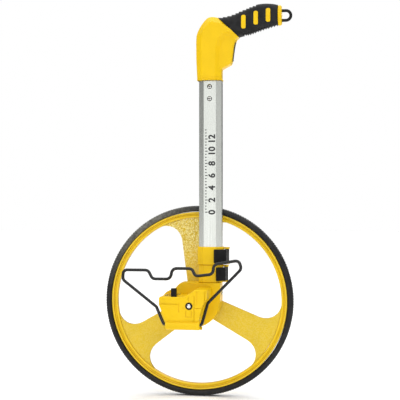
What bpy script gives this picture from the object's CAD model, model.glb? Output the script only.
"""The finished look of the measuring wheel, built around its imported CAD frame.

Sizes are millimetres in the frame of the CAD (+Z up, +X to the user, the wheel in the X-Z plane), turned
into metres once, in new_object(). Positions come from the boxes of the CAD nodes.
"""

import math

import bmesh  # noqa: E402
import bpy  # noqa: E402
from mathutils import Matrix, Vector  # noqa: E402


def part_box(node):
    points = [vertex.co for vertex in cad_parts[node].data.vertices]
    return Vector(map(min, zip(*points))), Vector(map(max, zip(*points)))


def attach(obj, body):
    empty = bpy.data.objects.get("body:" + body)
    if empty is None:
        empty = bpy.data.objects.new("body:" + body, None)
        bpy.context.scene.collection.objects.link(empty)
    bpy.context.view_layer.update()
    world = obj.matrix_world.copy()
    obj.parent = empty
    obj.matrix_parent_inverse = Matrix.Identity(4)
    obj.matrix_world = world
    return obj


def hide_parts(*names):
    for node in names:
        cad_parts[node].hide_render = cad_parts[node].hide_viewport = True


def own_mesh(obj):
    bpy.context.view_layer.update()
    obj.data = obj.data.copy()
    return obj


MM = 0.001
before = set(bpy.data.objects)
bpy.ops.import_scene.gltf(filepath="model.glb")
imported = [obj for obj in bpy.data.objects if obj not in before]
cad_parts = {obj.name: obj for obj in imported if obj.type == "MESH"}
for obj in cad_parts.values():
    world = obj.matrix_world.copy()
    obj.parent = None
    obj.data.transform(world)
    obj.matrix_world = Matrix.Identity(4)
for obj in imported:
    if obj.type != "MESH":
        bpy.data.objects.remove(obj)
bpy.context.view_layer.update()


def span(node):
    low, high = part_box(node)
    return low / MM, high / MM


def middle(node):
    low, high = span(node)
    return (low + high) / 2


# Sizes that several pieces share.
WHEEL_R = middle("tyre").z
AXLE = (0.0, WHEEL_R)
RIM_R = WHEEL_R - 9.9
WEB_HALF = 2.4
SPOKE_ANGLES = (93.6, 213.6, 333.6)
POLE_X, POLE_Y, _ = middle("outer_tube")
TUBE_HALF = (19.0, 11.5)
TUBE_FLAT_HALF = 10.5
TUBE_SIDE_HALF = 5.5
TUBE_WALL = 1.5
TUBE_STEP = 2.0
TUBE_FRONT_Y = POLE_Y - TUBE_HALF[1]
COUNTER = (middle("counter_shaft").x, WHEEL_R)
COUNTER_TOP, COUNTER_FRONT_Y = 173.5, -97.0
WINDOW = middle("counter_lens")[:2]
WINDOW_HALF = (span("counter_lens")[1] - span("counter_lens")[0]) / 2
BUTTON, BUTTON_HALF = (middle("reset_button").x + 0.7, middle("reset_button").y), (4.3, 4.0)
HINGE_Y, HINGE_Z = -94.0, 129.0
HEAD_BOTTOM = span("head_front")[0].z
HEAD_HALF, NECK_FLAT_HALF = 17.0, 8.4
SEAM = ((37.0, 627.6), (71.8, 594.6))


# ---------------- outlines


def polar(radius, degrees, centre=(0.0, 0.0)):
    angle = math.radians(degrees)
    return centre[0] + radius * math.cos(angle), centre[1] + radius * math.sin(angle)


def arc(radius, start, end, steps, centre):
    return [polar(radius, start + (end - start) * i / steps, centre) for i in range(steps + 1)]


def ring(radius, steps, centre=(0.0, 0.0)):
    return arc(radius, 0, 360, steps, centre)[:-1]


def rectangle(centre, half_u, half_v):
    left, right = centre[0] - half_u, centre[0] + half_u
    low, high = centre[1] - half_v, centre[1] + half_v
    return (left, low), (right, low), (right, high), (left, high)


def rounded(points, radius, steps, closed=True):
    """The outline or path with each corner turned into a short curve. Works in two or three axes."""
    points = [Vector(point) for point in points]
    out = []
    for i, corner in enumerate(points):
        if not closed and i in (0, len(points) - 1):
            out.append(corner)
            continue
        before = points[i - 1] - corner
        after = points[(i + 1) % len(points)] - corner
        half = before.angle(after) / 2
        reach = min(radius / math.tan(half), 0.45 * before.length, 0.45 * after.length)
        start = corner + before.normalized() * reach
        end = corner + after.normalized() * reach
        for step in range(steps + 1):
            t = step / steps
            out.append(start * (1 - t) ** 2 + corner * 2 * t * (1 - t) + end * t**2)
    return out


def curve(start, corner, end, steps):
    """A round bend from start to end whose two sides point at the corner."""
    start, corner, end = Vector(start), Vector(corner), Vector(end)
    near, far = start.lerp(corner, 0.55), end.lerp(corner, 0.55)
    points = []
    for step in range(steps + 1):
        t = step / steps
        left = start * (1 - t) ** 3 + near * 3 * t * (1 - t) ** 2
        points.append(left + far * 3 * t**2 * (1 - t) + end * t**3)
    return points


def inset(points, distance):
    """A counter-clockwise outline moved inwards by a distance."""
    points = [Vector(point[:2]) for point in points]
    out = []
    for i, corner in enumerate(points):
        before = (corner - points[i - 1]).normalized()
        after = (points[(i + 1) % len(points)] - corner).normalized()
        across = Vector((-before.y, before.x))
        normal = (across + Vector((-after.y, after.x))).normalized()
        out.append(corner + normal * (distance / max(0.5, normal.dot(across))))
    return out


def both_sides(half):
    """A whole section from the (radius, y) points of its far half, which run from the inside out."""
    return [(radius, -y) for radius, y in half] + [(radius, y) for radius, y in reversed(half)]


def to_space(point, height, axis):
    """A point drawn across an axis: across Y it is (x, z), across Z (x, y) and across X (y, z)."""
    u, v = point[0], point[1]
    return Vector({"x": (height, u, v), "y": (u, height, v), "z": (u, v, height)}[axis])


# ---------------- closed shapes


def add_skin(shape, rows, loop=False):
    """Adds to a shape the closed surface through rings of equally many points."""
    rows = [[shape.verts.new(point) for point in row] for row in rows]
    faces = []
    pairs = list(zip(rows, rows[1:]))
    if loop:
        pairs.append((rows[-1], rows[0]))
    for lower, upper in pairs:
        for i in range(len(lower)):
            j = (i + 1) % len(lower)
            faces.append(shape.faces.new((lower[i], lower[j], upper[j], upper[i])))
    if not loop:
        faces.append(shape.faces.new(rows[0][::-1]))
        faces.append(shape.faces.new(rows[-1]))
    bmesh.ops.recalc_face_normals(shape, faces=faces)
    return shape


def skin(rows, loop=False):
    return add_skin(bmesh.new(), rows, loop)


def prism(outline, low, high, axis="y"):
    return skin([[to_space(point, height, axis) for point in outline] for height in (low, high)])


def prisms(blocks):
    """One shape of several prisms across Y, each (outline, low, high), that don't touch."""
    shape = bmesh.new()
    for outline, low, high in blocks:
        add_skin(shape, [[to_space(point, y, "y") for point in outline] for y in (low, high)])
    return shape


def turned(profile, centre, steps, axis="y", solid=False):
    """A ring turned about an axis from (radius, place along the axis) points, or a solid of revolution."""
    if solid:
        return skin([[to_space(point, along, axis) for point in ring(radius, steps, centre)]
                     for radius, along in profile])
    angles = [360 * (step + 0.5) / steps - 90 for step in range(steps)]
    return skin([[to_space(polar(radius, angle, centre), along, axis) for radius, along in profile]
                 for angle in angles], loop=True)


def bar(path, radius, sides):
    """A round bar along a path."""
    rows = []
    across = (path[1] - path[0]).orthogonal().normalized()
    for i, point in enumerate(path):
        along = (path[min(i + 1, len(path) - 1)] - path[max(i - 1, 0)]).normalized()
        across = (across - along * across.dot(along)).normalized()
        other = along.cross(across)
        turn = [math.tau * k / sides for k in range(sides)]
        rows.append([point + radius * (across * math.cos(a) + other * math.sin(a)) for a in turn])
    return skin(rows)


# ---------------- objects


def new_object(name, shape, look=None):
    for vert in shape.verts:
        vert.co *= MM
    mesh = bpy.data.meshes.new(name)
    shape.to_mesh(mesh)
    shape.free()
    if look:
        mesh.materials.append(look)
    made = bpy.data.objects.new(name, mesh)
    bpy.context.scene.collection.objects.link(made)
    return made


def bake(made):
    """Turns the object's modifiers into its mesh."""
    look = made.data.materials[0]
    graph = bpy.context.evaluated_depsgraph_get()
    made.data = bpy.data.meshes.new_from_object(made.evaluated_get(graph))
    made.modifiers.clear()
    made.data.materials.clear()
    made.data.materials.append(look)


def combine(made, operation, *shapes):
    """Cuts shapes from the object, or joins them to it, one after the other."""
    tools = [new_object(f"{made.name}_tool_{i}", shape) for i, shape in enumerate(shapes)]
    for tool in tools:
        modifier = made.modifiers.new("Combine", "BOOLEAN")
        modifier.operation = operation
        modifier.object = tool
        modifier.solver = "EXACT"
    bake(made)
    for tool in tools:
        bpy.data.objects.remove(tool)


def soften(made, width, segments=2, angle=50.0):
    modifier = made.modifiers.new("Soften", "BEVEL")
    modifier.width = width * MM
    modifier.segments = segments
    modifier.limit_method = "ANGLE"
    modifier.angle_limit = math.radians(angle)
    modifier.harden_normals = True


def place(made, body, slot, *nodes, angle=35.0):
    """Shades the piece, lets it ride on a body and stand for CAD nodes, and names its material slot."""
    made.data.shade_smooth()
    made.data.set_sharp_from_angle(angle=math.radians(angle))
    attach(made, body)
    if nodes:
        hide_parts(*nodes)


def dress(node, look, edge):
    """Gives a CAD node that is shown as it is softened edges and a finished material."""
    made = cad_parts[node]
    made.data.materials.clear()
    made.data.materials.append(look)
    made.data.shade_smooth()
    weld = made.modifiers.new("Weld", "WELD")
    weld.merge_threshold = 0.00001
    flatten = made.modifiers.new("Flatten", "DECIMATE")
    flatten.decimate_type = "DISSOLVE"
    flatten.angle_limit = math.radians(0.5)
    soften(made, edge, angle=32.0)
    made.modifiers["Soften"].harden_normals = False
    even = made.modifiers.new("Even", "WEIGHTED_NORMAL")
    even.keep_sharp = False


# ---------------- materials


def add_node(tree, kind, inputs, **settings):
    """A new shader node with its settings, and with numbers or other nodes' outputs for its inputs."""
    node = tree.nodes.new("ShaderNode" + kind)
    for key, value in settings.items():
        setattr(node, key, value)
    for key, value in inputs.items():
        if isinstance(value, bpy.types.NodeSocket):
            tree.links.new(value, node.inputs[key])
        else:
            node.inputs[key].default_value = value
    return node


class Look:
    """A material being made: its Principled shader, and short calls for the nodes that feed it."""

    def __init__(self, name, colour, roughness, metallic=0.0, specular=0.5, **inputs):
        self.material = bpy.data.materials.new(name)
        self.material.use_nodes = True
        self.material.diffuse_color = (*colour, 1.0)
        self.tree = self.material.node_tree
        self.shader = self.tree.nodes["Principled BSDF"]
        settings = {"Base Color": (*colour, 1.0), "Roughness": roughness, "Metallic": metallic,
                    "Specular IOR Level": specular}
        settings.update({key.replace("_", " ").title(): value for key, value in inputs.items()})
        for key, value in settings.items():
            self.shader.inputs[key].default_value = value
        coordinates = self.node("TexCoord", {}).outputs
        self.where, self.facing = coordinates["Object"], coordinates["Normal"]

    def node(self, kind, inputs, **settings):
        return add_node(self.tree, kind, inputs, **settings)

    def mapped(self, cell, stretch=(1.0, 1.0, 1.0)):
        """The place on the object, in cells of a size in mm, stretched along the axes."""
        scale = [1 / (cell * MM * share) for share in stretch]
        return self.node("Mapping", {"Vector": self.where, "Scale": scale}).outputs["Vector"]

    def noise(self, cell, detail=3.0, stretch=(1.0, 1.0, 1.0)):
        """Cloudy noise."""
        inputs = {"Vector": self.mapped(cell, stretch), "Scale": 1.0, "Detail": detail}
        return self.node("TexNoise", inputs).outputs[0]

    def cells(self, cell):
        """Distance from the middle of rounded cells, as in a leathery grain."""
        inputs = {"Vector": self.mapped(cell), "Scale": 1.0}
        return self.node("TexVoronoi", inputs, feature="SMOOTH_F1").outputs["Distance"]

    def remap(self, value, low=0.0, high=1.0, start=0.3, end=0.7):
        """A number that runs from low to high while the value runs from start to end."""
        inputs = {"Value": value, "From Min": start, "From Max": end, "To Min": low, "To Max": high}
        return self.node("MapRange", inputs).outputs["Result"]

    def times(self, first, second):
        return self.node("Math", {0: first, 1: second}, operation="MULTIPLY").outputs["Value"]

    def part_of(self, vector, axis, absolute=False):
        """One axis of a vector, with or without its sign."""
        part = self.node("SeparateXYZ", {"Vector": vector}).outputs[axis]
        return self.node("Math", {0: part}, operation="ABSOLUTE").outputs["Value"] if absolute else part

    def blend(self, share, first, second):
        """A mix of two colours, each a tuple or another node's output."""
        ends = [(*end, 1.0) if isinstance(end, tuple) else end for end in (first, second)]
        return self.node("Mix", {0: share, 6: ends[0], 7: ends[1]}, data_type="RGBA").outputs[2]

    def colour(self, value):
        self.tree.links.new(value, self.shader.inputs["Base Color"])

    def rough(self, value, low, high):
        self.tree.links.new(self.remap(value, low, high), self.shader.inputs["Roughness"])

    def bumps(self, *layers):
        """Surface relief from (value, depth in mm) layers."""
        inputs = {}
        for value, depth in layers:
            inputs.update({"Height": value, "Distance": depth * MM})
            inputs["Normal"] = self.node("Bump", inputs).outputs["Normal"]
        self.tree.links.new(inputs["Normal"], self.shader.inputs["Normal"])


def tone(colour, share):
    return tuple(channel * share for channel in colour)


def moulded_yellow():
    base = (0.83, 0.53, 0.003)
    look = Look("moulded_yellow", base, 0.36, specular=0.2)
    patches = look.noise(38.0)
    flow = look.noise(7.0, 2.0, (1.0, 1.0, 4.0))
    shade = look.blend(look.remap(patches), tone(base, 0.93), tone(base, 1.02))
    look.colour(look.blend(look.remap(flow, 0.0, 0.35), shade, tone(base, 0.92)))
    look.rough(look.noise(5.0, 4.0), 0.3, 0.44)
    look.bumps((look.noise(14.0, 2.0), 0.12), (look.cells(0.7), 0.03))
    return look.material


def speckled_yellow():
    """Grained plastic, coarsest on the side that is on top at rest, and dark on its cut edges."""
    base, pale, dark = (0.7, 0.48, 0.012), (0.95, 0.86, 0.36), (0.4, 0.22, 0.003)
    look = Look("speckled_yellow", base, 0.42, specular=0.3)
    grain = look.noise(1.7)
    fine = look.noise(1.1, 2.0)
    worn = look.noise(30.0)
    coarse = look.remap(look.part_of(look.where, "Z"), 0.13, 1.0, 0.2, 0.262)
    shade = look.blend(look.remap(worn), tone(base, 0.94), tone(base, 1.05))
    shade = look.blend(look.times(look.remap(grain, 0.0, 1.0, 0.44, 0.57), coarse), shade, pale)
    shade = look.blend(look.times(look.remap(fine, 0.0, 0.9, 0.5, 0.64), coarse), shade, dark)
    facing = look.part_of(look.facing, "Y", absolute=True)
    look.colour(look.blend(look.remap(facing, 1.0, 0.0, 0.5, 0.97), shade, tone(dark, 0.75)))
    look.rough(grain, 0.34, 0.52)
    look.bumps((grain, 0.2), (fine, 0.08))
    return look.material


def rim_yellow():
    base = (0.83, 0.56, 0.012)
    look = Look("rim_yellow", base, 0.34, specular=0.4)
    worn = look.noise(24.0)
    shade = look.blend(look.remap(worn), tone(base, 0.9), tone(base, 1.03))
    facing = look.part_of(look.facing, "Y", absolute=True)
    look.colour(look.blend(look.remap(facing, 1.0, 0.0, 0.15, 0.8), shade, (0.52, 0.3, 0.002)))
    look.rough(look.noise(3.0), 0.28, 0.42)
    look.bumps((look.noise(2.2), 0.06))
    return look.material


def tyre_rubber():
    """Rubber, worn pale on the part that is on the upper left at rest."""
    base = (0.009, 0.009, 0.0095)
    look = Look("tyre_rubber", base, 0.42, specular=0.25)
    dust = look.noise(9.0, 5.0)
    fresh = look.blend(look.remap(dust, 0.0, 1.0, 0.48, 0.8), base, (0.024, 0.024, 0.023))
    rolled = look.times(look.remap(look.part_of(look.where, "X"), 1.0, 0.0, -0.07, 0.01),
                        look.remap(look.part_of(look.where, "Z"), 0.0, 1.0, 0.18, 0.27))
    worn = look.times(rolled, look.remap(look.noise(4.0, 4.0), 0.35, 1.0))
    look.colour(look.blend(worn, fresh, (0.17, 0.165, 0.14)))
    look.rough(look.noise(2.0, 4.0), 0.34, 0.5)
    look.bumps((look.noise(1.2, 4.0), 0.05), (look.cells(0.6), 0.02))
    return look.material


def brushed_aluminium():
    look = Look("brushed_aluminium", (0.66, 0.68, 0.64), 0.3, 1.0)
    lines = look.noise(0.5, 3.0, (1.0, 1.0, 120.0))
    haze = look.noise(30.0, 3.0, (1.0, 1.0, 3.0))
    shade = look.blend(look.remap(haze), (0.64, 0.66, 0.62), (0.7, 0.72, 0.68))
    look.colour(look.blend(look.remap(lines, 0.0, 0.5), shade, (0.55, 0.57, 0.53)))
    look.rough(lines, 0.2, 0.38)
    look.bumps((lines, 0.012))
    return look.material


def black_plastic():
    base = (0.006, 0.006, 0.0062)
    look = Look("black_plastic", base, 0.42, specular=0.14)
    patches = look.noise(8.0, 4.0)
    look.colour(look.blend(look.remap(patches), tone(base, 0.7), (0.01, 0.01, 0.0102)))
    look.rough(look.noise(2.5), 0.36, 0.55)
    look.bumps((look.cells(0.8), 0.05))
    return look.material


def grip_rubber():
    base = (0.008, 0.008, 0.0085)
    look = Look("grip_rubber", base, 0.6, specular=0.2)
    worn = look.noise(12.0, 4.0)
    look.colour(look.blend(look.remap(worn, 0.0, 1.0, 0.45, 0.75), base, (0.02, 0.02, 0.021)))
    look.rough(look.noise(3.0, 4.0), 0.5, 0.72)
    look.bumps((look.cells(1.1), 0.09), (look.noise(0.6, 2.0), 0.03))
    return look.material


def painted_wire():
    base = (0.005, 0.005, 0.0052)
    look = Look("painted_wire", base, 0.16, specular=0.38)
    worn = look.noise(6.0, 5.0)
    look.colour(look.blend(look.remap(worn, 0.0, 1.0, 0.55, 0.75), base, (0.014, 0.014, 0.0145)))
    look.rough(look.noise(4.0), 0.13, 0.24)
    look.bumps((look.noise(1.5), 0.04))
    return look.material


def bright_steel():
    look = Look("bright_steel", (0.7, 0.7, 0.69), 0.2, 1.0)
    worn = look.noise(2.0, 4.0)
    look.colour(look.blend(look.remap(worn), (0.6, 0.6, 0.59), (0.82, 0.82, 0.8)))
    look.rough(look.noise(1.0), 0.14, 0.3)
    look.bumps((look.noise(0.8, 2.0), 0.01))
    return look.material


def white_nylon():
    look = Look("white_nylon", (0.8, 0.8, 0.76), 0.42, subsurface_weight=0.1)
    patches = look.noise(5.0)
    look.colour(look.blend(look.remap(patches), (0.74, 0.74, 0.69), (0.85, 0.85, 0.82)))
    look.rough(look.noise(1.5), 0.35, 0.5)
    look.bumps((look.noise(1.0), 0.03))
    return look.material


def clear_lens():
    look = Look("clear_lens", (0.93, 0.96, 0.95), 0.04, transmission_weight=1.0)
    look.rough(look.noise(4.0), 0.02, 0.09)
    look.bumps((look.noise(9.0, 2.0), 0.01))
    return look.material


def print_ink(name, base):
    look = Look(name, base, 0.5)
    look.colour(look.blend(look.remap(look.noise(1.5)), tone(base, 0.85), tone(base, 1.15)))
    look.rough(look.noise(1.0, 2.0), 0.42, 0.6)
    return look.material


def pale_floor():
    look = Look("pale_floor", (0.95, 0.95, 0.945), 0.7)
    clouds = look.remap(look.noise(260.0))
    look.colour(look.blend(clouds, (0.94, 0.94, 0.935), (0.96, 0.96, 0.955)))
    look.rough(look.noise(8.0), 0.62, 0.78)
    return look.material


# ---------------- wheel


def tyre_shape():
    """The tyre, with a ribbed tread whose notches alternate between its two sides."""
    notches, per_notch, notch_depth, rib_depth = 220, 4, 0.8, 0.8
    outer, inner = WHEEL_R, WHEEL_R - 9.55
    side = ((inner, 7.4), (inner + 0.7, 8.7), (inner + 1.7, 9.5), (inner + 2.9, 9.95), (inner + 4.1, 10.0),
            (inner + 5.4, 9.75), (inner + 6.6, 9.3), (inner + 7.7, 8.7), (inner + 8.6, 7.9))
    tread = ((7.0, 0.2), (6.4, 0.0), (4.9, 0.0), (4.6, rib_depth), (3.8, rib_depth), (3.5, 0.0), (0.5, 0.0),
             (0.3, rib_depth))
    half = [(radius, y, False) for radius, y in side]
    half += [(outer - depth, y, depth < rib_depth) for y, depth in tread]
    profile = [(radius, -y, notched) for radius, y, notched in half]
    profile += [(radius, y, notched) for radius, y, notched in reversed(half)]
    steps = notches * per_notch
    rows = []
    for step in range(steps):
        angle = 360 * (step + 0.5) / steps - 90
        row = []
        for radius, y, notched in profile:
            in_notch = step % per_notch == (1 if y > 0 else 3)
            row.append(to_space(polar(radius - notch_depth * (notched and in_notch), angle, AXLE), y, "y"))
        rows.append(row)
    return skin(rows, loop=True)


def spoke_gap(start, step):
    """The opening between the spoke at an angle and the next one: straight sides and round corners."""
    axle = Vector(AXLE)
    near, far = 34.0, 139.6
    half_at_hub, half_at_rim = 17.0, 24.4
    corner, hub_corner_r = 36.0, 9.0

    def side(angle, sign, radius):
        share = (radius - near) / (far - near)
        width = half_at_hub + (half_at_rim - half_at_hub) * share
        along = Vector(polar(1.0, angle))
        across = Vector((-along.y, along.x)) * sign
        return axle + along * math.sqrt(radius**2 - width**2) + across * width

    half_angle = math.degrees(math.asin(half_at_rim / far))
    turn = math.degrees(corner / far)
    first, last = start + half_angle, start + step - half_angle
    rim = arc(far, first + turn, last - turn, 40, axle)
    first_corner = curve(side(start, 1, far - corner), polar(far, first, axle), rim[0], 14)
    last_corner = curve(rim[-1], polar(far, last, axle), side(start + step, -1, far - corner), 14)
    bottom = polar(near * 0.8, start + step / 2, axle)
    hub = [side(start + step, -1, near), bottom, side(start, 1, near)]
    inner = rounded([last_corner[-1], *hub, first_corner[0]], hub_corner_r, 6, closed=False)[1:-1]
    return first_corner + rim[1:-1] + last_corner + inner


def make_wheel(looks):
    place(new_object("tyre_with_tread", tyre_shape(), looks["tyre"]), "wheel", "tyre", "tyre", angle=50.0)

    # The hub with its bearing seat, and the web that the spokes are cut from.
    hub_r, hub_half, rim_in = 17.0, 12.0, 139.0
    plate = ((5.2, 6.5), (8.0, 6.5), (8.0, hub_half), (hub_r - 0.8, hub_half), (hub_r, hub_half - 0.8),
             (hub_r, WEB_HALF + 1.4), (hub_r + 0.5, WEB_HALF + 0.5), (hub_r + 1.6, WEB_HALF),
             (rim_in, WEB_HALF))
    step = SPOKE_ANGLES[1] - SPOKE_ANGLES[0]
    spokes = new_object("spoked_plate", turned(both_sides(plate), AXLE, 180), looks["spokes"])
    combine(spokes, "DIFFERENCE", *[prism(spoke_gap(start, step), -6.0, 6.0) for start in SPOKE_ANGLES])
    soften(spokes, 1.0)
    place(spokes, "wheel", "wheel_plastic", "wheel_disc")

    # The rim: a low inner bead, a groove and the flange that holds the tyre.
    rim = ((rim_in + 0.1, WEB_HALF - 0.4), (rim_in + 0.1, WEB_HALF), (rim_in + 0.5, 4.0),
           (141.3, 5.0), (142.2, 5.1), (142.9, 4.7), (143.5, 3.9), (144.6, 3.5), (145.5, 3.9), (145.9, 6.2),
           (146.3, 7.1), (147.0, 7.4), (148.2, 7.4), (148.8, 7.1), (RIM_R - 0.2, 6.4))
    rim_ring = new_object("rim_ring", turned(both_sides(rim), AXLE, 240), looks["rim"])
    place(rim_ring, "wheel", "wheel_plastic")

    mark_r, mark_at, web = 3.6, (-9.9, 281.6), -WEB_HALF
    mark = ((mark_r - 0.5, web + 0.2), (mark_r - 0.5, web - 0.25), (mark_r, web - 0.35),
            (mark_r + 0.5, web - 0.25), (mark_r + 0.5, web + 0.2))
    ring_mark = new_object("spoke_ring_mark", turned(mark, mark_at, 40), looks["spokes"])
    place(ring_mark, "wheel", "wheel_plastic")

    dome = ((4.6, 12.3), (6.0, 12.3), (16.6, 12.3), (17.0, 12.8), (16.8, 14.0), (15.6, 15.0), (13.4, 15.3),
            (12.6, 14.6), (12.2, 13.0), (12.0, 12.7))
    cap = new_object("hub_cap_domed", turned(dome, AXLE, 96), looks["black"])
    place(cap, "wheel", "black_plastic", "hub_cap")


# ---------------- pole


def tube_outline(offset):
    """The pole's flattened octagon with rounded edges, moved inwards by an offset."""
    edge_r = 1.6
    half, deep = TUBE_HALF
    left = ((-half, TUBE_SIDE_HALF), (-half, -TUBE_SIDE_HALF), (-TUBE_FLAT_HALF, -deep),
            (TUBE_FLAT_HALF, -deep))
    right = [(-x, -y) for x, y in left]
    return rounded(inset([(POLE_X + x, POLE_Y + y) for x, y in (*right, *left)], offset), edge_r, 3)


def make_tubes(looks):
    sections = (("inner_tube", "frame", 2 * TUBE_STEP), ("mid_tube", "pole_mid", TUBE_STEP),
                ("outer_tube", "pole_upper", 0.0))
    for node, body, offset in sections:
        low, high = span(node)[0].z, span(node)[1].z
        edge = 0.4
        outside, inside = tube_outline(offset), tube_outline(offset + TUBE_WALL)
        outer_edge, inner_edge = tube_outline(offset + edge), tube_outline(offset + TUBE_WALL - edge)
        walls = ((outside, low + edge), (outside, high - edge), (outer_edge, high), (inner_edge, high),
                 (inside, high - edge), (inside, low + edge), (inner_edge, low), (outer_edge, low))
        rows = [[to_space(point, height, "z") for point in line] for line, height in walls]
        tube = new_object(f"{node}_brushed", skin(rows, loop=True), looks["aluminium"])
        place(tube, body, "aluminium", node, angle=20.0)


def make_pole_screws(looks):
    """Pan-head screws near the top of the pole, each in a dark ring with a deep cross recess."""
    head_r, back = 3.0, TUBE_FRONT_Y - 0.05
    edge_r = head_r + 1.0
    edge = ((head_r, back), (head_r, back - 0.5), (edge_r, back - 0.3), (edge_r, back))
    dome = ((head_r - 0.1, back), (head_r - 0.1, back - 0.9), (2.4, back - 1.5), (1.2, back - 1.9),
            (0.4, back - 2.0))
    for number in (1, 2):
        node = f"pole_screw_{number}"
        at = (middle(node).x, middle(node).z)

        def cross(reach, half, low, high):
            """The two arms of a cross recess."""
            return [(rectangle(at, *arm), low, high) for arm in ((reach, half), (half, reach))]

        washer = new_object(f"pole_screw_ring_{number}", turned(edge, at, 40), looks["black"])
        place(washer, "pole_upper", "black_plastic")
        screw = new_object(f"pole_screw_domed_{number}", turned(dome, at, 40, solid=True), looks["steel"])
        combine(screw, "DIFFERENCE", *[prism(*arm) for arm in cross(2.1, 0.6, back - 3.0, back - 0.6)])
        place(screw, "pole_upper", "bright_steel", node)
        recess = prisms(cross(2.0, 0.5, back - 0.75, back - 0.5))
        dark = new_object(f"pole_screw_recess_{number}", recess, looks["black"])
        place(dark, "pole_upper", "black_plastic")


def glyph(character, size, bold=0.0):
    """A digit's flat mesh, as (points, faces), centred. Its height and how far its lines swell are in mm."""
    height_share = 0.7
    text = bpy.data.curves.new("glyph", "FONT")
    text.body = character
    text.align_x = "CENTER"
    text.size = size / height_share
    text.offset = bold
    holder = bpy.data.objects.new("glyph", text)
    bpy.context.scene.collection.objects.link(holder)
    graph = bpy.context.evaluated_depsgraph_get()
    mesh = bpy.data.meshes.new_from_object(holder.evaluated_get(graph))
    points = [Vector((vert.co.x, vert.co.y - size / 2)) for vert in mesh.vertices]
    faces = [tuple(polygon.vertices) for polygon in mesh.polygons]
    bpy.data.objects.remove(holder)
    bpy.data.meshes.remove(mesh)
    return points, faces


def add_print(shape, flat, lay):
    """Adds a flat drawing to a shape, each point laid on the surface by a function."""
    points, faces = flat
    verts = [shape.verts.new(lay(point)) for point in points]
    for face in faces:
        shape.faces.new([verts[i] for i in face])


def make_pole_print(look):
    """A plain scale, printed up the pole's front: a line each 5 mm and a number each 20 mm."""
    shape = bmesh.new()
    low, high, pitch, per_number = 308.0, 444.0, 5.0, 4
    left, proud = POLE_X - 8.0, 0.05
    line_half, digit_height, digits_at = 0.75, 10.5, left + 11.0

    def lay(x, z):
        """Turns a drawing to read up the pole, about a place on its front."""
        return lambda point: Vector((x - point.y, TUBE_FRONT_Y - proud, z + point.x))

    for i in range(int((high - low) / pitch) + 1):
        z = low + pitch * i
        numbered = i % per_number == 0
        length = 4.2 if numbered else 2.6
        line = [Vector(point) for point in rectangle((0.0, 0.0), line_half, length / 2)]
        add_print(shape, (line, [(0, 1, 2, 3)]), lay(left + length / 2, z))
        if numbered:
            add_print(shape, glyph(str(2 * (i // per_number)), digit_height, 0.55), lay(digits_at, z))
    place(new_object("pole_scale_print", shape, look), "pole_upper", "black_plastic")


# ---------------- head and grip


def chamfered(outline, half, chamfer, depth):
    """Rings across Y of an outline about the pole's middle plane, with chamfered edges."""
    small = inset(outline, chamfer)
    places = ((small, -half), (outline, depth - half), (outline, half - depth), (small, half))
    return [[to_space(point, POLE_Y + y, "y") for point in line] for line, y in places]


def head_solid():
    """The head before it is split: the faceted column that turns into the neck of the grip, and the belly."""
    column = ((43.7, 505.0), (43.9, 560.0), (44.6, 578.0), (47.6, 588.0), (53.0, 593.2), (61.5, 595.2),
              (70.0, 593.4), (84.0, 599.0), (46.8, 624.8), (38.1, 626.9), (31.4, 628.5), (24.6, 628.5),
              (20.2, 626.7), (15.9, 622.5), (11.0, 616.3), (7.2, 610.2), (4.2, 604.1), (2.3, 598.0),
              (1.6, 587.0), (1.9, 560.0), (4.4, 505.0))
    belly = ((30.0, 535.0), (44.6, 543.0), (58.8, 550.5), (61.6, 557.0), (64.2, 579.0), (67.4, 590.6),
             (74.0, 597.0), (52.0, 606.0), (30.0, 600.0))
    shape = bmesh.new()
    add_skin(shape, chamfered(column, HEAD_HALF, 9.4, HEAD_HALF - NECK_FLAT_HALF))
    add_skin(shape, chamfered(belly, 11.0, 1.8, 1.8))
    return shape


def trim(shape, point, normal):
    """Removes what is on the normal's side of a plane, and closes the cut."""
    geometry = shape.verts[:] + shape.edges[:] + shape.faces[:]
    bmesh.ops.bisect_plane(shape, geom=geometry, plane_co=point, plane_no=normal, clear_outer=True, dist=1e-6)
    bmesh.ops.holes_fill(shape, edges=[edge for edge in shape.edges if edge.is_boundary], sides=0)


def make_head(look):
    """The two halves of the head, cut from one rounded solid at the seam, the foot and the middle plane."""
    voxel, gap, screw_hole_r = 0.8, 0.15, 3.9
    solid = new_object("head_solid", head_solid(), look)
    remesh = solid.modifiers.new("Remesh", "REMESH")
    remesh.mode = "VOXEL"
    remesh.voxel_size = voxel * MM
    smooth = solid.modifiers.new("Smooth", "SMOOTH")
    smooth.factor = 0.5
    smooth.iterations = 6
    bake(solid)

    seam = (Vector(SEAM[1]) - Vector(SEAM[0])).normalized()
    seam_normal = Vector((-seam.y, 0.0, seam.x))
    screws = [middle(f"head_screw_{i}") for i in (1, 2, 3)]
    for side, sign in (("front", -1), ("rear", 1)):
        shape = bmesh.new()
        shape.from_mesh(solid.data)
        trim(shape, Vector((SEAM[0][0], 0.0, SEAM[0][1])) * MM, seam_normal)
        trim(shape, Vector((0.0, 0.0, HEAD_BOTTOM)) * MM, Vector((0.0, 0.0, -1.0)))
        trim(shape, Vector((0.0, POLE_Y + sign * gap, 0.0)) * MM, Vector((0.0, -sign, 0.0)))
        for vert in shape.verts:
            vert.co /= MM
        half = new_object(f"head_{side}_shell", shape, look)
        if side == "rear":
            back = span("head_rear")[1].y
            holes = [(ring(screw_hole_r, 32, (screw.x, screw.z)), back - 3.9, back + 5.0) for screw in screws]
            combine(half, "DIFFERENCE", prisms(holes))
        place(half, "pole_upper", "yellow_plastic", f"head_{side}", angle=40.0)
    bpy.data.objects.remove(solid)


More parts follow.
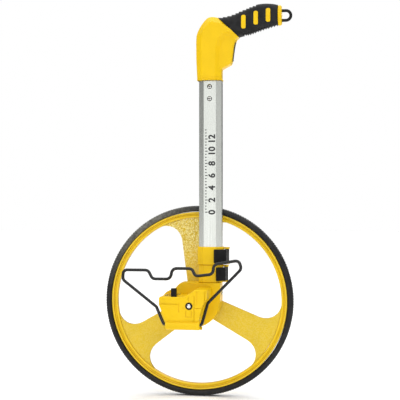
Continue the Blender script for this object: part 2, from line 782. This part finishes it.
def make_head_bands(look):
    """The lip at the foot of the head and a fine bead above it, both round the octagonal neck."""
    neck_left, neck_right, chamfer = 4.2, 43.8, 9.4
    neck = [(x, POLE_Y + y) for x, y in (
        (neck_right, -NECK_FLAT_HALF), (neck_right, NECK_FLAT_HALF),
        (neck_right - chamfer, HEAD_HALF), (neck_left + chamfer, HEAD_HALF),
        (neck_left, NECK_FLAT_HALF), (neck_left, -NECK_FLAT_HALF),
        (neck_left + chamfer, -HEAD_HALF), (neck_right - chamfer, -HEAD_HALF))]
    bands = (("head_lip", HEAD_BOTTOM, HEAD_BOTTOM + 1.9, 0.9), ("head_bead", 529.6, 530.4, 0.3))
    for name, low, high, proud in bands:
        outside, inside = inset(neck, -proud), inset(neck, 2.0)
        rows = [[to_space(point, height, "z") for point in line]
                for line, height in ((outside, low), (outside, high), (inside, high), (inside, low))]
        band = new_object(name, skin(rows, loop=True), look)
        soften(band, 0.3, angle=60.0)
        place(band, "pole_upper", "yellow_plastic")


def make_finger_pad(look):
    """The ribbed pad along the front edge of the belly."""
    half, ribs, rib, proud, sunk = 4.2, 9, 0.7, 0.8, 0.35
    edge = [Vector(point) for point in ((61.2, 556.0), (61.7, 557.6), (64.3, 579.0), (66.4, 586.6))]
    outside = [edge[0] + Vector((0.4, -0.3))]
    for i in range(ribs):
        for share, depth in ((0.0, 0.0), (0.5, 0.0), (0.6, rib), (0.9, rib)):
            spot = edge[1].lerp(edge[2], (i + share) / ribs)
            outside.append(spot + Vector((proud - depth, 0.0)))
    outside += [edge[2] + Vector((proud, 0.0)), edge[3] + Vector((0.4, 0.3))]
    inside = [spot - Vector((sunk, 0.0)) for spot in reversed(edge)]
    pad = new_object("finger_pad_ribbed", prism(outside + inside, POLE_Y - half, POLE_Y + half), look)
    soften(pad, 0.25)
    place(pad, "pole_upper", "black_plastic", "finger_pad")


def spline(values, t):
    """Catmull-Rom through a list of vectors or numbers. t runs from 0 to one less than their number."""
    i = min(int(t), len(values) - 2)
    t -= i
    before, start, end, after = (values[max(0, min(len(values) - 1, i + k))] for k in (-1, 0, 1, 2))
    return 0.5 * (2 * start + (end - before) * t + (2 * before - 5 * start + 4 * end - after) * t**2
                  + (3 * start - before - 3 * end + after) * t**3)


def grip_rows(offset, reach=0.0, per_span=4, points=48, ribs=False):
    """Rounded sections of the grip from the seam to the end cap, moved inwards by an offset."""
    gap, rib_pitch, rib_depth, end_x = 0.3, 5.1, 2.1, 135.9 + reach
    seam = (Vector(SEAM[1]) - Vector(SEAM[0])).normalized()
    start = Vector((-seam.y, seam.x)) * (gap - reach)
    # Each station is a point on the grip's top edge, one on its bottom edge and half its width.
    stations = ((Vector(SEAM[0]) + start, Vector(SEAM[1]) + start, 16.0),
                ((57.5, 631.4), (79.0, 596.6), 15.6), ((79.5, 639.8), (91.6, 598.4), 15.2),
                ((96.0, 646.0), (104.0, 602.6), 15.0), ((110.5, 648.6), (114.5, 606.0), 15.0),
                ((126.0, 648.0), (127.0, 609.8), 14.6), ((end_x, 646.0), (end_x, 612.2), 14.0))
    tops = [Vector(top) for top, _, _ in stations]
    bottoms = [Vector(bottom) for _, bottom, _ in stations]
    halves = [half for _, _, half in stations]
    rows, length, last = [], 0.0, None
    for step in range(per_span * (len(stations) - 1) + 1):
        t = step / per_span
        top, bottom, half = spline(tops, t), spline(bottoms, t), spline(halves, t)
        centre, up = (top + bottom) / 2, (top - bottom) / 2
        length += (centre - last).length if last else 0.0
        last = centre
        wave = (length / rib_pitch) % 1.0
        over, under = t < 3.3, t > 1.2
        row = []
        for i in range(points):
            c, s = math.cos(math.tau * i / points), math.sin(math.tau * i / points)
            share = min(1.0, max(0.0, (abs(s) - 0.7) / 0.2)) * (over if s > 0 else under)
            depth = rib_depth if s > 0 else 1.4 * rib_depth
            sunk = offset + (depth * wave * share if ribs else 0.0)
            c, s = math.copysign(abs(c) ** 0.8, c), math.copysign(abs(s) ** 0.8, s)
            spot = centre + up * ((up.length - sunk) / up.length * s)
            row.append((spot.x, POLE_Y + (half - sunk) * c, spot.y))
        rows.append(row)
    return rows


def make_grip(looks):
    """The black sleeve, and the yellow core that shows through its three windows on either side."""
    corner_r, gap = 3.2, 0.3

    def pads(extra):
        """Blocks across the whole grip in the outline of its inserts, larger by an extra."""
        outlines = [rounded(rectangle(spot, 3.6 + extra, 11.1 + extra), corner_r + extra, 6)
                    for spot in ((80.9, 618.2), (101.0, 624.0), (121.0, 628.1))]
        return prisms([(outline, POLE_Y - 30.0, POLE_Y + 30.0) for outline in outlines])

    rows = grip_rows(0.0, per_span=28, points=64, ribs=True)
    sleeve = new_object("grip_sleeve_ribbed", skin(rows), looks["grip"])
    combine(sleeve, "DIFFERENCE", skin(grip_rows(3.0, 2.0)), pads(gap))
    soften(sleeve, 0.3, angle=60.0)
    place(sleeve, "pole_upper", "grip_rubber", "grip_sleeve", angle=50.0)

    core = new_object("grip_core_pads", skin(grip_rows(3.3)), looks["yellow"])
    place(core, "pole_upper", "yellow_plastic", "grip_core")
    raised = new_object("grip_pads_raised", skin(grip_rows(-0.5, per_span=8)), looks["yellow"])
    combine(raised, "INTERSECT", pads(0.0))
    soften(raised, 0.9, 3)
    place(raised, "pole_upper", "yellow_plastic")


def make_end_cap(look):
    low, high = span("end_cap")
    centre, tall, wide = (low.z + high.z) / 2, (high.z - low.z) / 2, (high.y - low.y) / 2
    # How far along the cap each ring lies, and how far inside the cap's box.
    sections = ((0.1, 2.4), (0.3, 1.9), (0.8, 1.4), (3.4, 1.4), (4.8, 1.9), (5.6, 2.8), (6.1, 4.2))
    rows = [[(low.x + x, POLE_Y + (wide - back) * c, centre + (tall - back) * s) for c, s in ring(1.0, 64)]
            for x, back in sections]
    place(new_object("end_cap_rounded", skin(rows), look), "pole_upper", "yellow_plastic", "end_cap")


def make_hang_loop(look):
    low, high = span("hang_loop")
    radius = (high.y - low.y) / 2 + 0.35
    bend = (high.z - low.z) / 2 - radius
    turn = (high.x - radius - bend, (low.z + high.z) / 2)
    path = [(low.x, turn[1] + bend), *arc(bend, 90, -90, 24, turn), (low.x, turn[1] - bend)]
    loop = new_object("hang_loop_round", bar([Vector((x, POLE_Y, z)) for x, z in path], radius, 20), look)
    place(loop, "pole_upper", "grip_rubber", "hang_loop")


# ---------------- counter


def housing_outline(offset=0.0, radius=1.6):
    """The counter housing from the front, from its lower right up and over the top, moved inwards."""
    corners = ((16.0, 135.0), (18.0, 147.0), (22.0, 160.0), (28.5, 170.0), (28.5, 185.0), (9.0, 185.0),
               (-7.0, COUNTER_TOP), (-47.0, COUNTER_TOP), (-49.0, 171.5), (-49.0, 161.0), (-39.0, 135.0))
    return rounded(inset(corners, offset), radius, 3)


def housing_room(low, high):
    """The hollow inside the housing."""
    wall, corner_r = 2.2, 0.6
    return prism(housing_outline(wall, corner_r), low, high)


def groove(start, end, width=1.0):
    """A cutter for a level or upright panel line in the cover, between two (x, z) ends."""
    depth = 0.9
    start, end = Vector(start), Vector(end)
    half = (end - start) / 2 + Vector((width, width)) / 2
    return rectangle((start + end) / 2, *half), COUNTER_FRONT_Y - 1.0, COUNTER_FRONT_Y + depth


def make_counter_case(look):
    """The housing behind the cover, open to the front, with a raised surround for its window on top."""
    low, high = span("counter_body")
    surround = rounded(rectangle(WINDOW, WINDOW_HALF.x + 1.7, WINDOW_HALF.y + 1.4), 1.2, 3)
    opening = rectangle(WINDOW, WINDOW_HALF.x + 0.3, WINDOW_HALF.y + 0.3)
    body = new_object("counter_case", prism(housing_outline(), low.y, high.y), look)
    combine(body, "UNION", prism(surround, COUNTER_TOP - 1.0, COUNTER_TOP + 0.9, "z"))
    combine(body, "DIFFERENCE", housing_room(low.y - 1.0, high.y - 2.2),
            prism(opening, COUNTER_TOP - 8.0, COUNTER_TOP + 8.0, "z"))
    soften(body, 0.5)
    place(body, "frame", "yellow_plastic", "counter_body")


def make_counter_cover(look):
    """The front cover with its panel lines, and along its foot the barrel that holds the stand."""
    front, back = COUNTER_FRONT_Y, span("counter_cover")[1].y
    cover = new_object("counter_front", prism(housing_outline(), front, back), look)
    soften(cover, 1.1, 3, 60.0)

    left, right, barrel_r = -38.3, 17.0, 6.5
    barrel_at = (HINGE_Y, HINGE_Z - 1.6)
    end_r = barrel_r - 0.9
    barrel = ((end_r, left), (barrel_r, left + 0.9), (barrel_r, right - 0.9), (end_r, right))
    hanger = rectangle(((left + right) / 2, HINGE_Z + 3.0), 26.5, 5.0)
    cradle = arc(barrel_r - 0.3, 284, 350, 12, barrel_at)
    combine(cover, "UNION", turned(barrel, barrel_at, 48, "x", solid=True),
            prism(hanger, HINGE_Y - 2.0, HINGE_Y + 4.0, "y"),
            prism(cradle, left - 2.8, left + 2.0, "x"), prism(cradle, right - 2.0, right + 3.4, "x"))

    lines = (((-50.0, 162.0), (-19.4, 162.0)), ((-16.8, 150.0), (-16.8, 163.0)), ((8.4, 132.0), (8.4, 175.5)),
             ((10.4, 155.8), (22.6, 155.8)), ((-5.0, 142.0), (-5.0, 151.4)), ((4.2, 142.0), (4.2, 151.4)),
             ((-3.6, 142.0), (2.8, 142.0)), ((-0.6, 166.4), (-0.6, 173.4)), ((-9.4, 155.8), (-7.2, 155.8)))
    wide_lines = (((12.5, 161.5), (12.5, 181.5), 2.0), ((25.6, 161.0), (25.6, 182.0), 1.2))
    slot = rectangle(BUTTON, BUTTON_HALF[0] + 0.3, BUTTON_HALF[1] + 0.3)
    screw_seat_r = 6.2
    combine(cover, "DIFFERENCE", prisms([groove(*ends) for ends in lines]),
            prisms([groove(*line) for line in wide_lines]), housing_room(front + 2.2, back + 1.0),
            prism(slot, 162.0, 180.0, "z"), prism(ring(screw_seat_r, 48, AXLE), front - 1.0, front + 0.35))
    place(cover, "frame", "yellow_plastic", "counter_cover", angle=30.0)


def make_counter_screw(looks):
    """The crossed screw in the middle of the cover, on its dark washer."""
    seat = COUNTER_FRONT_Y + 0.05
    washer = ((3.4, seat), (3.4, seat - 0.9), (5.2, seat - 0.9), (5.7, seat - 0.5), (5.7, seat))
    dark = new_object("screw_washer_dark", turned(washer, AXLE, 64), looks["black"])
    place(dark, "frame", "black_plastic", "screw_washer")

    head = ((3.3, seat), (3.3, seat - 1.3), (3.0, seat - 1.8), (2.2, seat - 2.2), (1.0, seat - 2.4))
    screw = new_object("counter_screw_domed", turned(head, AXLE, 64, solid=True), looks["steel"])
    combine(screw, "DIFFERENCE",
            prism(rectangle(AXLE, 1.8, 0.35), seat - 3.0, seat - 1.5),
            prism(rectangle(AXLE, 0.35, 1.8), seat - 3.0, seat - 1.6))
    place(screw, "frame", "bright_steel", "counter_screw")


def make_lens(look):
    low, high = span("counter_lens")
    pane = prism(rounded(rectangle(WINDOW, WINDOW_HALF.x, WINDOW_HALF.y), 1.0, 3), low.z, high.z, "z")
    lens = new_object("counter_window", pane, look)
    soften(lens, 0.6, angle=40.0)
    place(lens, "frame", "clear_lens", "counter_lens")


def make_reset(looks):
    """The ribbed reset button, and the spring that lifts it."""
    low, high = span("reset_button")
    outline = rounded(rectangle(BUTTON, *BUTTON_HALF), 1.2, 4)
    push = new_object("reset_button_ribbed", prism(outline, low.z, high.z, "z"), looks["black"])
    ridges = [(rectangle((BUTTON[0] + 1.7 * i, high.z), 0.4, 0.5), low.y - 1.0, high.y + 1.0)
              for i in range(-2, 3)]
    combine(push, "DIFFERENCE", prisms(ridges))
    soften(push, 0.4, angle=40.0)
    place(push, "reset", "black_plastic", "reset_button")

    low, high = span("reset_spring")
    centre = middle("reset_button")
    turns, per_turn, coil_r, wire_r, travel = 6, 20, 2.0, 0.45, 4.0
    count = turns * per_turn
    rise = (high.z - low.z - 2 * wire_r) / count
    coil = [Vector((*polar(coil_r, 360 * i / per_turn, (centre.x, centre.y)), low.z + wire_r + rise * i))
            for i in range(count + 1)]
    spring = new_object("reset_spring_coil", bar(coil, wire_r, 8), looks["steel"])
    place(spring, "frame", "bright_steel", "reset_spring")
    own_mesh(spring)


def make_drums(looks):
    """The five drums, each with the digits 0 to 9 round it. Zero is on top at rest."""
    bore_r, digit_height = 2.7, 4.3
    digits = [glyph(str(i), digit_height) for i in range(10)]
    for number in range(1, 6):
        node, body = f"digit_drum_{number}", f"drum_{number}"
        low, high = span(node)
        radius, centre = (high.z - low.z) / 2 - 0.1, middle(node)
        section = ((bore_r, low.y), (radius - 0.4, low.y), (radius, low.y + 0.3), (radius, high.y - 0.3),
                   (radius - 0.4, high.y), (bore_r, high.y))
        drum = new_object(f"{node}_smooth", turned(section, COUNTER, 72), looks["black"])
        place(drum, body, "black_plastic", node)
        shape = bmesh.new()
        for digit, flat in enumerate(digits):

            def lay(point):
                angle = math.radians(36 * digit) + point.y / radius
                across, up = math.sin(angle) * (radius + 0.04), math.cos(angle) * (radius + 0.04)
                return Vector((COUNTER[0] - across, centre.y + point.x, COUNTER[1] + up))

            add_print(shape, flat, lay)
        place(new_object(f"drum_digits_{number}", shape, looks["white_ink"]), body, "white_nylon")


# ---------------- stand


def make_stand(look):
    outline = ((-32.0, 129.0), (-41.2, 129.0), (-55.1, 156.4), (-113.6, 198.3), (-114.0, 213.8),
               (-72.6, 213.8), (-64.5, 200.0), (-34.8, 200.0), (-32.5, 217.0), (0.2, 217.0), (5.5, 204.8),
               (34.5, 208.5), (35.1, 224.0), (75.6, 230.5), (80.6, 217.4), (28.2, 163.2), (19.8, 129.0),
               (10.0, 129.0))
    lean, wire_r = 0.3, 2.5
    path = [Vector((x, HINGE_Y + lean * (z - HINGE_Z), z)) for x, z in outline]
    wire = new_object("stand_wire_round", bar(rounded(path, 9.0, 9, closed=False), wire_r, 20), look)
    place(wire, "stand", "black_steel", "stand_wire")


# ---------------- CAD nodes that stay


def dress_nodes(looks):
    dressed = {
        "yellow": (("bracket", 1.6), ("gear_case_cover", 0.4), ("lower_collar", 0.6), ("upper_collar", 0.6)),
        "black": (("lower_lever", 0.5), ("upper_lever", 0.5), ("inner_tube_guide", 0.3),
                  ("mid_tube_guide", 0.3), ("head_spigot", 0.3)),
        "steel": tuple((name, 0.2) for name in (
            "axle", "axle_washer", "axle_nut", "side_screw", "counter_shaft", "transfer_shaft",
            "head_screw_1", "head_screw_2", "head_screw_3",
            "wheel_bearing_inner", "wheel_bearing_outer", "lower_lever_pin", "upper_lever_pin")),
        "nylon": tuple((name, 0.1) for name in (
            "drive_gear", "counter_gear", "transfer_pinion_1", "transfer_pinion_2", "transfer_pinion_3",
            "transfer_pinion_4", "reset_comb")),
    }
    for look, nodes in dressed.items():
        for node, edge in nodes:
            dress(node, looks[look], edge)


# ---------------- studio


def add_light(name, spot, target, size, watts):
    data = bpy.data.lights.new(name, "AREA")
    data.shape = "RECTANGLE"
    data.size, data.size_y = size
    data.energy = watts
    light = bpy.data.objects.new(name, data)
    light.location = spot
    light.rotation_euler = (Vector(target) - Vector(spot)).to_track_quat("-Z", "Y").to_euler()
    bpy.context.scene.collection.objects.link(light)


def make_floor():
    floor = new_object("floor", prism(ring(9000.0, 128), -20.0, -0.6, "z"), pale_floor())


def make_world():
    """White surroundings that are brighter above and darker at two sides, and a plain backdrop."""
    world = bpy.data.worlds.new("studio")
    bpy.context.scene.world = world
    world.use_nodes = True
    tree = world.node_tree
    where = add_node(tree, "TexCoord", {}).outputs["Generated"]

    def lobe(direction, start, end, low, high):
        """A factor that changes smoothly from low to high as a direction is neared."""
        near = {0: where, 1: Vector(direction).normalized()}
        value = add_node(tree, "VectorMath", near, operation="DOT_PRODUCT").outputs["Value"]
        inputs = {"Value": value, "From Min": start, "From Max": end, "To Min": low, "To Max": high}
        return add_node(tree, "MapRange", inputs, interpolation_type="SMOOTHSTEP").outputs["Result"]

    strength = lobe((0.88, -0.48, 0.0), 0.82, 0.98, 0.31, 0.68)
    for factor in (lobe((0.25, 0.97, 0.0), 0.7, 0.97, 1.0, 0.35), lobe((0.0, 0.0, 1.0), 0.3, 0.9, 1.0, 5.4)):
        strength = add_node(tree, "Math", {0: strength, 1: factor}, operation="MULTIPLY").outputs[0]
    white = (1.0, 1.0, 1.0, 1.0)
    light = add_node(tree, "Background", {"Color": white, "Strength": strength}).outputs[0]
    backdrop = add_node(tree, "Background", {"Color": white}).outputs[0]
    seen = add_node(tree, "LightPath", {}).outputs["Is Camera Ray"]
    either = add_node(tree, "MixShader", {0: seen, 1: light, 2: backdrop}).outputs[0]
    tree.links.new(either, tree.nodes["World Output"].inputs["Surface"])


def make_lights():
    target = (0.0, 0.0, 0.3)
    add_light("front", (-0.5, -2.8, 0.5), target, (1.6, 2.2), 9.5)
    add_light("key", (0.5, -2.4, 1.9), target, (1.1, 1.1), 13.0)
    add_light("back", (0.5, 2.6, 1.7), target, (1.4, 1.4), 16.0)
    add_light("top", (-0.3, 0.3, 2.6), target, (2.0, 2.0), 10.0)


def make_camera():
    """A level camera, 9.5 degrees to the user's side of the wheel's axle."""
    azimuth, distance = math.radians(9.5), 1.67
    aim = Vector((0.0017, 0.0, 0.328))
    data = bpy.data.cameras.new("camera")
    data.sensor_width = 36.0
    data.lens = 89.2
    camera = bpy.data.objects.new("camera", data)
    camera.location = aim + Vector((math.sin(azimuth), -math.cos(azimuth), 0.0)) * distance
    camera.rotation_euler = (aim - camera.location).to_track_quat("-Z", "Y").to_euler()
    bpy.context.scene.collection.objects.link(camera)
    bpy.context.scene.camera = camera


def main():
    looks = {
        "yellow": moulded_yellow(),
        "spokes": speckled_yellow(),
        "rim": rim_yellow(),
        "tyre": tyre_rubber(),
        "aluminium": brushed_aluminium(),
        "black": black_plastic(),
        "grip": grip_rubber(),
        "wire": painted_wire(),
        "steel": bright_steel(),
        "nylon": white_nylon(),
        "lens": clear_lens(),
        "black_ink": print_ink("black_ink", (0.02, 0.02, 0.022)),
        "white_ink": print_ink("white_ink", (0.8, 0.8, 0.78)),
    }
    make_wheel(looks)
    make_tubes(looks)
    make_pole_screws(looks)
    make_pole_print(looks["black_ink"])
    make_head(looks["yellow"])
    make_head_bands(looks["yellow"])
    make_finger_pad(looks["black"])
    make_grip(looks)
    make_end_cap(looks["yellow"])
    make_hang_loop(looks["grip"])
    make_counter_case(looks["yellow"])
    make_counter_cover(looks["yellow"])
    make_counter_screw(looks)
    make_lens(looks["lens"])
    make_reset(looks)
    make_drums(looks)
    make_stand(looks["wire"])
    dress_nodes(looks)
    make_floor()
    make_world()
    make_lights()
    make_camera()
    bpy.context.scene.view_settings.view_transform = "Standard"


main()
